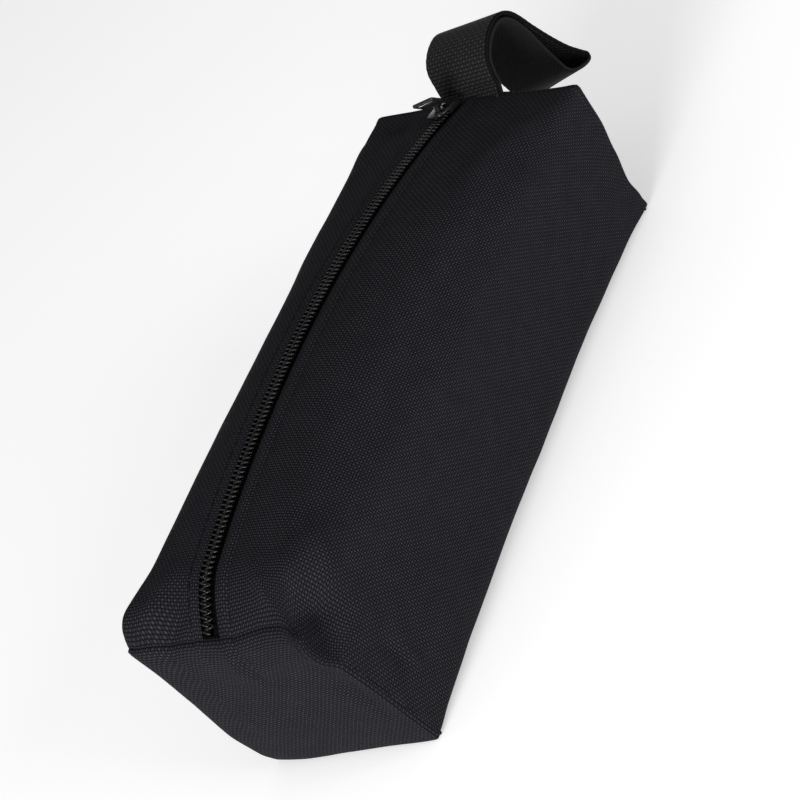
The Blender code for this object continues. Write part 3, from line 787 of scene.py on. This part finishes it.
def add_slab(bm, outline, low, high, soften, segments=2):
    """Prism over an outline of (u, v) points between two heights, with its rims rounded."""
    face = bm.faces.new([bm.verts.new((u, v, low)) for u, v in outline])
    made = bmesh.ops.extrude_face_region(bm, geom=[face])["geom"]
    tops = [item for item in made if isinstance(item, bmesh.types.BMVert)]
    bmesh.ops.translate(bm, vec=(0, 0, high - low), verts=tops)
    verts = set(face.verts) | set(tops)
    edges = [edge for edge in bm.edges if edge.verts[0] in verts and edge.verts[1] in verts
             and edge.verts[0].co.z == edge.verts[1].co.z]
    soften_edges(bm, edges, soften, segments)


bm = bmesh.new()
top_plan = plate_outline(SLIDER_HALF_LENGTH, SLIDER_HALF_WIDTH)
under_plan = plate_outline(SLIDER_HALF_LENGTH * 0.95, SLIDER_HALF_WIDTH * 0.85)
add_slab(bm, top_plan, PLATE_LOW, PLATE_HIGH, 0.3 * MM, 3)
add_slab(bm, under_plan, UNDER_LOW, UNDER_HIGH, 0.2 * MM)
neck = ((NECK_START, -NECK_NARROW), (NECK_END, -NECK_WIDE),
        (NECK_END, NECK_WIDE), (NECK_START, NECK_NARROW))
add_slab(bm, neck, UNDER_HIGH - OVERLAP, PLATE_LOW + OVERLAP, 0.05 * MM, 1)
for side in (1, -1):
    inner = side * (SLIDER_HALF_WIDTH - FLANGE_INSET)
    outer = side * (SLIDER_HALF_WIDTH - FLANGE_OUTSET)
    flange = [(FLANGE_TAIL, inner), (FLANGE_NOSE, inner), (FLANGE_TIP, outer), (FLANGE_TAIL, outer)]
    add_slab(bm, flange if side > 0 else flange[::-1], FLANGE_LOW, PLATE_LOW + 0.45 * MM, 0.15 * MM)
arch = []
for radius, v in ((BRIDGE_INNER, -1), (BRIDGE_OUTER, -1), (BRIDGE_OUTER, 1), (BRIDGE_INNER, 1)):
    arch.append(bm.verts.new((radius, v * BRIDGE_HALF_WIDTH, 0)))
face = bm.faces.new(arch)
bmesh.ops.spin(bm, geom=[face], cent=(0, 0, 0), axis=(0, -1, 0), angle=math.pi, steps=16,
               use_duplicate=False)
for vert in bm.verts:
    on_bridge = abs(abs(vert.co.y) - BRIDGE_HALF_WIDTH) < BRIDGE_HALF_WIDTH * 0.001
    if on_bridge and vert.co.xz.length < BRIDGE_OUTER * 1.01 and vert.co.z > -0.01 * MM:
        vert.co.z = vert.co.z * BRIDGE_STRETCH + PLATE_HIGH - BRIDGE_SINK
bmesh.ops.recalc_face_normals(bm, faces=bm.faces)
bmesh.ops.transform(bm, matrix=slider_place, verts=bm.verts)
slider = make_piece("slider_casting", bm, 35)

enamel = new_material("black_enamel", Roughness=0.24, Coat_Weight=0.15, Coat_Roughness=0.12,
                      Specular_IOR_Level=0.35)
orange_peel = on_piece(enamel, "TexNoise", Scale=700.0, Detail=5.0)
wear_in(enamel, orange_peel, (0.003, 0.003, 0.003), (0.012, 0.012, 0.012), 0.25, 0.05 * MM)
slider.data.materials.append(enamel)
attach(slider, "slider")
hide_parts("slider_body")


# ---------------------------------------------------------------- pull tab
# Flat zinc pull, nickel plated. Its crossbar lies under the slider's bridge, loose enough to hang
# askew, and the slot near its free end takes a cord. The bar beyond the slot is coloured with the
# slider's black enamel as a painted dark reflection on the plated bar.

TAB_LIFT = math.radians(31)
TAB_LINES = [line * MM for line in (-0.5, 0.5, 3.2, 4.7, 9.64, 10.98, 12.2)]
TAB_RAILS = [line * MM for line in (-3.5, -2.5, -2.2, 2.2, 2.5, 3.5)]
TAB_HALF = 0.45 * MM
WINDOW_HALF, SLOT_HALF = 2.2 * MM, 2.5 * MM
TAB_CORNER, TAB_RIM, TAB_FIELD = 0.9 * MM, 0.12 * MM, 0.45 * MM

tab_across = Vector(swing["axis"]).normalized()
tab_back = slider_out.cross(tab_across)
tab_reach = tab_back * math.cos(TAB_LIFT) + slider_out * math.sin(TAB_LIFT)
tab_face = slider_out * math.cos(TAB_LIFT) - tab_back * math.sin(TAB_LIFT)
tab_place = Matrix((tab_reach, tab_across, tab_face)).transposed().to_4x4()
tab_place.translation = tab_pivot

bm = bmesh.new()
for vert, column, row in lay_grid(bm, TAB_LINES, TAB_RAILS):
    vert.co = (TAB_LINES[column], TAB_RAILS[row], -TAB_HALF)
    if column <= 2:
        vert.co.y *= 3.0 / 3.5 if abs(row - 2.5) > 2 else 1
    elif column in (3, 4):
        vert.co.y = math.copysign(SLOT_HALF, vert.co.y) if row in (1, 2, 3, 4) else vert.co.y
holes = []
for face in bm.faces:
    middle = face.calc_center_median()
    in_window = TAB_LINES[1] < middle.x < TAB_LINES[2] and abs(middle.y) < WINDOW_HALF
    in_slot = TAB_LINES[4] < middle.x < TAB_LINES[5] and abs(middle.y) < SLOT_HALF
    if in_window or in_slot:
        holes.append(face)
bmesh.ops.delete(bm, geom=holes, context="FACES")
bmesh.ops.remove_doubles(bm, verts=bm.verts, dist=0.01 * MM)
made = bmesh.ops.extrude_face_region(bm, geom=bm.faces[:])["geom"]
tops = [item for item in made if isinstance(item, bmesh.types.BMVert)]
bmesh.ops.translate(bm, vec=(0, 0, 2 * TAB_HALF), verts=tops)
bmesh.ops.recalc_face_normals(bm, faces=bm.faces)
corners = [edge for edge in bm.edges if abs((edge.verts[0].co - edge.verts[1].co).z) > TAB_HALF
           and edge.verts[0].co.x > 12 * MM and abs(edge.verts[0].co.y) > 3.4 * MM]
soften_edges(bm, corners, TAB_CORNER, 4)
panels = [face for face in bm.faces if abs(face.normal.z) > 0.9 and face.calc_area() > 15 * MM * MM]
bmesh.ops.inset_individual(bm, faces=panels, thickness=TAB_FIELD, depth=-0.1 * MM)
rims = [edge for edge in bm.edges if edge.calc_face_angle(0) > math.radians(60)]
soften_edges(bm, rims, TAB_RIM, 2)
# Faces of the bar beyond the slot take the second slot, black enamel, as a painted dark reflection.
for face in bm.faces:
    face.material_index = 1 if face.calc_center_median().x > TAB_LINES[5] - 0.05 * MM else 0
bmesh.ops.transform(bm, matrix=tab_place, verts=bm.verts)
tab = make_piece("pull_tab_plate", bm, 35)

nickel = new_material("nickel_plate", Metallic=1.0, Roughness=0.3)
brushed = on_piece(nickel, "Mapping", Scale=(600, 3000, 600))
streaks = add_node(nickel, "TexNoise", Vector=brushed, Scale=1.0, Detail=3.0).outputs[0]
wear_in(nickel, streaks, (0.2, 0.2, 0.21), (0.34, 0.34, 0.35), 0.2, 0.02 * MM)
tab.data.materials.append(nickel)
# Black enamel on the end bar is a painted dark reflection, not a coat on the real pull.
tab.data.materials.append(enamel)
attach(tab, "pull_tab")
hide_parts("pull_tab")


# ---------------------------------------------------------------- webbing loop
# One length of inch-wide polyester webbing, folded double into a loop. Both of its ends lie one on
# the other in the top seam of the far end, caught in the stitching.

WEBBING_HALF, WEBBING_THICK = 12.7 * MM, 1.2 * MM
WEBBING_THREAD, BACK_THREAD = 1.15 * MM, 0.7 * MM
WEBBING_RIB = 0.06 * MM
STRAP_STEP, FACE_STEP, SELVEDGE_STEP = 0.5 * MM, 1.0 * MM, 0.35 * MM
hinge = next(joint for joint in frame["joints"] if joint["name"] == "handle_swing")
loop_pivot = Vector(hinge["pos_m"])

# Middle line of the strap as (x, z) in mm: up out of the seam, over and down to the fold, and back
LOOP_ROUTE = (
    (91.8, 44.0), (93.0, 50.0), (95.4, 55.0),
    (97.8, 58.0), (98.6, 60.8), (101.2, 65.0), (104.8, 67.3), (109.1, 68.7), (113.9, 68.7),
    (117.4, 67.4), (119.8, 64.6), (121.2, 60.5), (122.4, 54.9), (124.5, 46.9), (126.9, 39.8),
    (129.6, 34.6), (131.2, 31.9), (130.7, 30.5), (129.2, 30.5), (126.5, 31.6), (123.6, 33.6),
    (121.9, 36.1), (121.3, 39.0), (120.7, 45.6), (120.5, 50.5), (120.3, 55.0), (119.6, 60.0),
    (118.4, 63.7), (116.4, 66.1), (113.6, 67.1), (109.3, 67.1), (105.5, 65.9), (102.5, 64.1),
    (100.2, 60.6), (99.3, 58.0), (96.9, 55.0), (94.5, 50.0), (93.3, 44.0),
)
# The strap is gathered a little and sits off the middle at its root, and hangs askew at its fold
ROOT_PINCH, ROOT_SHIFT, ROOT_BAND = 0.09, 1.0 * MM, (2 * MM, 12 * MM)
LOOP_LEAN, LOOP_DROOP, LOOP_TWIST = 3.0 * MM, 1.2 * MM, 0.26
TIP_BAND = (113 * MM, 130 * MM)


def smooth_route(points, steps):
    """Catmull-Rom curve through points."""
    ends = [points[0] * 2 - points[1]] + points + [points[-1] * 2 - points[-2]]
    route = []
    for index in range(1, len(ends) - 2):
        a, b, c, d = ends[index - 1:index + 3]
        for step in range(steps):
            t = step / steps
            route.append(0.5 * (2 * b + (c - a) * t + (2 * a - 5 * b + 4 * c - d) * t * t
                                + (3 * b - a - 3 * c + d) * t ** 3))
    return route + [points[-1]]


route = smooth_route([Vector((x * MM, loop_pivot.y, z * MM)) for x, z in LOOP_ROUTE], 8)
run = [0.0]
for first, second in zip(route, route[1:]):
    run.append(run[-1] + (second - first).length)


def on_route(length):
    """Point of the strap's middle line, and its outward normal, at a length along it."""
    index = 0
    while index < len(run) - 2 and run[index + 1] < length:
        index += 1
    share = (length - run[index]) / (run[index + 1] - run[index])
    before, after = route[max(index - 1, 0)], route[min(index + 2, len(route) - 1)]
    first = (route[index + 1] - before).normalized()
    second = (after - route[index]).normalized()
    heading = first.lerp(second, share).normalized()
    return route[index].lerp(route[index + 1], share), Vector((-heading.z, 0, heading.x))


edge_round = WEBBING_THICK / 2 * math.pi
over_width = 2 * WEBBING_HALF - WEBBING_THICK


def strap_place(length, width):
    """Where the strap's surface lies: width runs over its face, round one selvedge, back and round."""
    middle, normal = on_route(length)
    half = WEBBING_THICK / 2
    rib = WEBBING_RIB * math.sin(math.pi * length / WEBBING_THREAD)
    if width <= over_width:
        y, up = width - over_width / 2, half
    elif width <= over_width + edge_round:
        angle = (width - over_width) / half
        y, up = over_width / 2 + half * math.sin(angle), half * math.cos(angle)
    elif width <= 2 * over_width + edge_round:
        y, up = over_width / 2 - (width - over_width - edge_round), -half
    else:
        angle = (width - 2 * over_width - edge_round) / half
        y, up = -over_width / 2 - half * math.sin(angle), -half * math.cos(angle)
    up *= 1 + 0.1 * (1 - (abs(y) / WEBBING_HALF) ** 6)
    y += rib * smooth_step(abs(y), WEBBING_HALF - 0.7 * MM, WEBBING_HALF) * math.copysign(1, y)
    root = 1 - smooth_step((middle - loop_pivot).length, *ROOT_BAND)
    tip = smooth_step(middle.x, *TIP_BAND)
    rise = tip * (-LOOP_DROOP - y * LOOP_TWIST)
    y = y * (1 - ROOT_PINCH * root) - ROOT_SHIFT * root - LOOP_LEAN * tip
    return middle + normal * up + Vector((0, y, rise))


def close_form(piece):
    """Join a rolled-up sheet along its meeting edges and cap its open ends."""
    bm = bmesh.new()
    bm.from_mesh(piece.data)
    bmesh.ops.remove_doubles(bm, verts=bm.verts, dist=0.01 * MM)
    bmesh.ops.holes_fill(bm, edges=[edge for edge in bm.edges if edge.is_boundary], sides=0)
    bmesh.ops.recalc_face_normals(bm, faces=bm.faces)
    bm.to_mesh(piece.data)
    bm.free()


strap_lengths = spread(0, run[-1], STRAP_STEP) + [run[-1]]
half_round = over_width + edge_round
strap_widths = []
for start in (0, half_round):
    strap_widths += spread(start, start + over_width, FACE_STEP)
    strap_widths += spread(start + over_width, start + half_round, SELVEDGE_STEP)
strap_widths.append(2 * half_round)
strap = cut_cloth("webbing_loop", strap_lengths, strap_widths, strap_place)
weave_map = strap.data.uv_layers["cut"].uv
for face in strap.data.polygons:
    length = min(weave_map[loop].vector.x for loop in face.loop_indices)
    width = sum(weave_map[loop].vector.y for loop in face.loop_indices) / face.loop_total
    if length > run[-1] / 2:
        face.material_index = 1
    elif over_width < width < half_round or width > half_round + over_width:
        face.material_index = 2
close_form(strap)
webbing_face = plain_weave("polyester_webbing", (0.0155, 0.0155, 0.0155), WEBBING_THREAD, 0.45 * MM,
                           contrast=0.75, Roughness=0.5, Specular_IOR_Level=0.08)
webbing_back = plain_weave("polyester_webbing_back", (0.0125, 0.0125, 0.013), BACK_THREAD, 0.1 * MM,
                           contrast=0.35, Roughness=0.6, Specular_IOR_Level=0.04)
selvedge = plain_weave("polyester_selvedge", (0.004, 0.004, 0.004), BACK_THREAD, 0.1 * MM,
                       contrast=0.4, Roughness=0.6, Specular_IOR_Level=0.04)
for cloth in (webbing_face, webbing_back, selvedge):
    strap.data.materials.append(cloth)
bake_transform(strap)
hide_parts("handle_loop", "handle_root")


# ---------------------------------------------------------------- seam bindings
# Tape folded over the raw edges of each end seam inside the bag, and open where the zip crosses it.

BINDING_DEPTH, BINDING_WIDTH, BINDING_THICK = 2.2 * MM, 7.5 * MM, 0.4 * MM
BINDING_OPENING, BINDING_STEPS = 5.5 * MM, 120

binding_cloth = plain_weave("binding_tape", (0.012, 0.012, 0.013), 0.5 * MM, 0.06 * MM, Roughness=0.75)

for node, direction in (("near_seam_binding", -1), ("far_seam_binding", 1)):
    def binding_place(length, width, direction=direction):
        x = direction * (half_length - BINDING_DEPTH - length)
        side, share = (1, width * 2) if width <= 0.5 else (-1, (1 - width) * 2)
        start = BINDING_OPENING + side * zip_y
        return lay(x, side, start + (sum(half_runs(x, side)) - start) * share, -BINDING_DEPTH)

    strip = cut_cloth(node + "_tape", spread(0, BINDING_WIDTH, 1.5 * MM) + [BINDING_WIDTH],
                      [step / BINDING_STEPS for step in range(BINDING_STEPS + 1)], binding_place)
    if direction > 0:
        strip.data.flip_normals()
    thicken(strip, BINDING_THICK)
    strip.data.materials.append(binding_cloth)
    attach(strip, "bag")
    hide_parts(node)


# ---------------------------------------------------------------- liner, tie and sand
# A clear polythene bag inside the cloth one holds the sand. Its neck is gathered at the far end and
# closed with a plastic tie.

LINER_DEPTH, LINER_THICK = 4.0 * MM, 0.4 * MM
LINER_START, SAND_START, SAND_GAP = 18 * MM, 20 * MM, 0.4 * MM
FORM_STEPS = 96
NECK_RADIUS, TIE_RADIUS = 4.3 * MM, 0.9 * MM
NECK_STEPS = [step * MM for step in (4, 7, 10, 14, 17)]
NECK_PLEATS, PLEAT_DEPTH = 12, 0.12
tie_low, tie_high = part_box("liner_tie")
tie_x = (tie_low.x + tie_high.x) / 2
neck_height = (tie_low.z + tie_high.z) / 2


def filled_form(name, depth, near, far, gather):
    """Closed form at a depth inside the cloth, its far end gathered into a neck where asked."""
    lengths = [near] + spread(near + 0.01 * MM, far, 4 * MM) + [far]
    if gather:
        lengths += [far + step for step in NECK_STEPS]
    widths = [step / FORM_STEPS for step in range(FORM_STEPS + 1)]

    def place(length, width):
        x = min(length, far)
        side = 1 if width <= 0.5 else -1
        share = width * 2 if side > 0 else (1 - width) * 2
        point = lay(x, side, share * sum(half_runs(x, side)), -depth)
        middle = Vector((length, 0, neck_height))
        point.x = length
        if length <= near:
            return middle.lerp(point, 0.9)
        narrow = smooth_step(length, far, far + 10 * MM) if gather else 0.0
        angle = 2 * math.pi * width
        pleats = NECK_RADIUS * (1 + PLEAT_DEPTH * math.sin(NECK_PLEATS * angle))
        neck = middle + Vector((0, math.sin(angle), math.cos(angle))) * pleats
        return point.lerp(neck, narrow)

    form = cut_cloth(name, lengths, widths, place)
    close_form(form)
    return form


far_full = tie_x - 11 * MM
liner = filled_form("liner_film", LINER_DEPTH, -half_length + LINER_START, far_full, True)
film = new_material("polythene_film", Roughness=0.25, Transmission_Weight=0.6, IOR=1.5)
crinkle = on_piece(film, "TexNoise", Scale=180.0, Detail=4.0)
wear_in(film, crinkle, (0.75, 0.77, 0.78), (0.9, 0.91, 0.91), 0.6, 0.5 * MM)
liner.data.materials.append(film)
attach(liner, "bag")
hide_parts("liner_bag")

sand = filled_form("sand_grains", LINER_DEPTH + LINER_THICK + SAND_GAP, -half_length + SAND_START,
                   far_full - 1 * MM, False)
grains = new_material("washed_sand", Roughness=0.9)
cells = on_piece(grains, "TexVoronoi", Scale=1400.0)
wear_in(grains, cells, (0.62, 0.5, 0.34), (0.36, 0.26, 0.15), 0.9, 0.4 * MM)
sand.data.materials.append(grains)
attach(sand, "bag")
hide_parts("sand_fill")

bm = bmesh.new()
middle = Vector((tie_x, 0, neck_height))
beside_neck = middle + Vector((0, NECK_RADIUS * 1.15 + TIE_RADIUS, 0))
bmesh.ops.create_circle(bm, cap_ends=False, segments=12, radius=TIE_RADIUS,
                        matrix=Matrix.Translation(beside_neck))
bmesh.ops.spin(bm, geom=bm.verts[:] + bm.edges[:], cent=middle, axis=(1, 0, 0), angle=2 * math.pi,
               steps=48, use_merge=True)
bmesh.ops.recalc_face_normals(bm, faces=bm.faces)
tie = make_piece("liner_tie_band", bm)
tie_plastic = new_material("tie_plastic", Roughness=0.4)
mottle = on_piece(tie_plastic, "TexNoise", Scale=400.0)
wear_in(tie_plastic, mottle, (0.6, 0.6, 0.58), (0.75, 0.75, 0.73), 0.2, 0.05 * MM)
tie.data.materials.append(tie_plastic)
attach(tie, "bag")
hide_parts("liner_tie")


# ---------------------------------------------------------------- floor, light and camera
# A plain pale floor that gives off a little light of its own, soft light from all round with two
# large lamps at the near end and the right side, and the camera.

FLOOR_GAP = 0.3 * MM
FLOOR_GLOW, ROOM_LIGHT = 0.35, 0.36
AIM = Vector((0.0015, 0.0019, 0.0323))
# Name, place, size and power of each lamp
LAMPS = (
    ("end_light", (-1.45, -0.25, 0.42), 0.7, 24),
    ("side_light", (0.1, -1.6, 0.5), 0.8, 13),
)
AZIMUTH, ELEVATION, ROLL = math.radians(-35.36), math.radians(31.09), math.radians(-46.13)
DISTANCE = 0.747

bm = bmesh.new()
bmesh.ops.create_grid(bm, x_segments=1, y_segments=1, size=6)
floor = make_piece("floor", bm)
paper = new_material("paper", Base_Color=(0.92, 0.92, 0.92, 1), Roughness=0.9, Specular_IOR_Level=0.0,
                     Emission_Color=(1, 1, 1, 1), Emission_Strength=FLOOR_GLOW)
floor.data.materials.append(paper)
floor.location.z = -FLOOR_GAP

world = bpy.data.worlds.new("studio")
bpy.context.scene.world = world
world.use_nodes = True
sky = world.node_tree.nodes["Background"]
sky.inputs["Color"].default_value = (1, 1, 1, 1)
sky.inputs["Strength"].default_value = ROOM_LIGHT
bpy.context.scene.view_settings.view_transform = "Standard"

for name, place, size, power in LAMPS:
    light = bpy.data.lights.new(name, "AREA")
    light.size = size
    light.energy = power
    lamp = bpy.data.objects.new(name, light)
    lamp.location = place
    lamp.rotation_euler = (AIM - Vector(place)).to_track_quat("-Z", "Y").to_euler()
    bpy.context.scene.collection.objects.link(lamp)

level_back = Vector((math.sin(AZIMUTH), -math.cos(AZIMUTH), 0))
back = level_back * math.cos(ELEVATION) + Vector((0, 0, math.sin(ELEVATION)))
camera = bpy.data.cameras.new("camera")
camera.lens = 117
camera.sensor_width = 36
view = bpy.data.objects.new("camera", camera)
view.rotation_mode = "QUATERNION"
view.rotation_quaternion = (-back).to_track_quat("-Z", "Y") @ Matrix.Rotation(ROLL, 3, "Z").to_quaternion()
view.location = AIM + back * DISTANCE
bpy.context.scene.collection.objects.link(view)
bpy.context.scene.camera = view
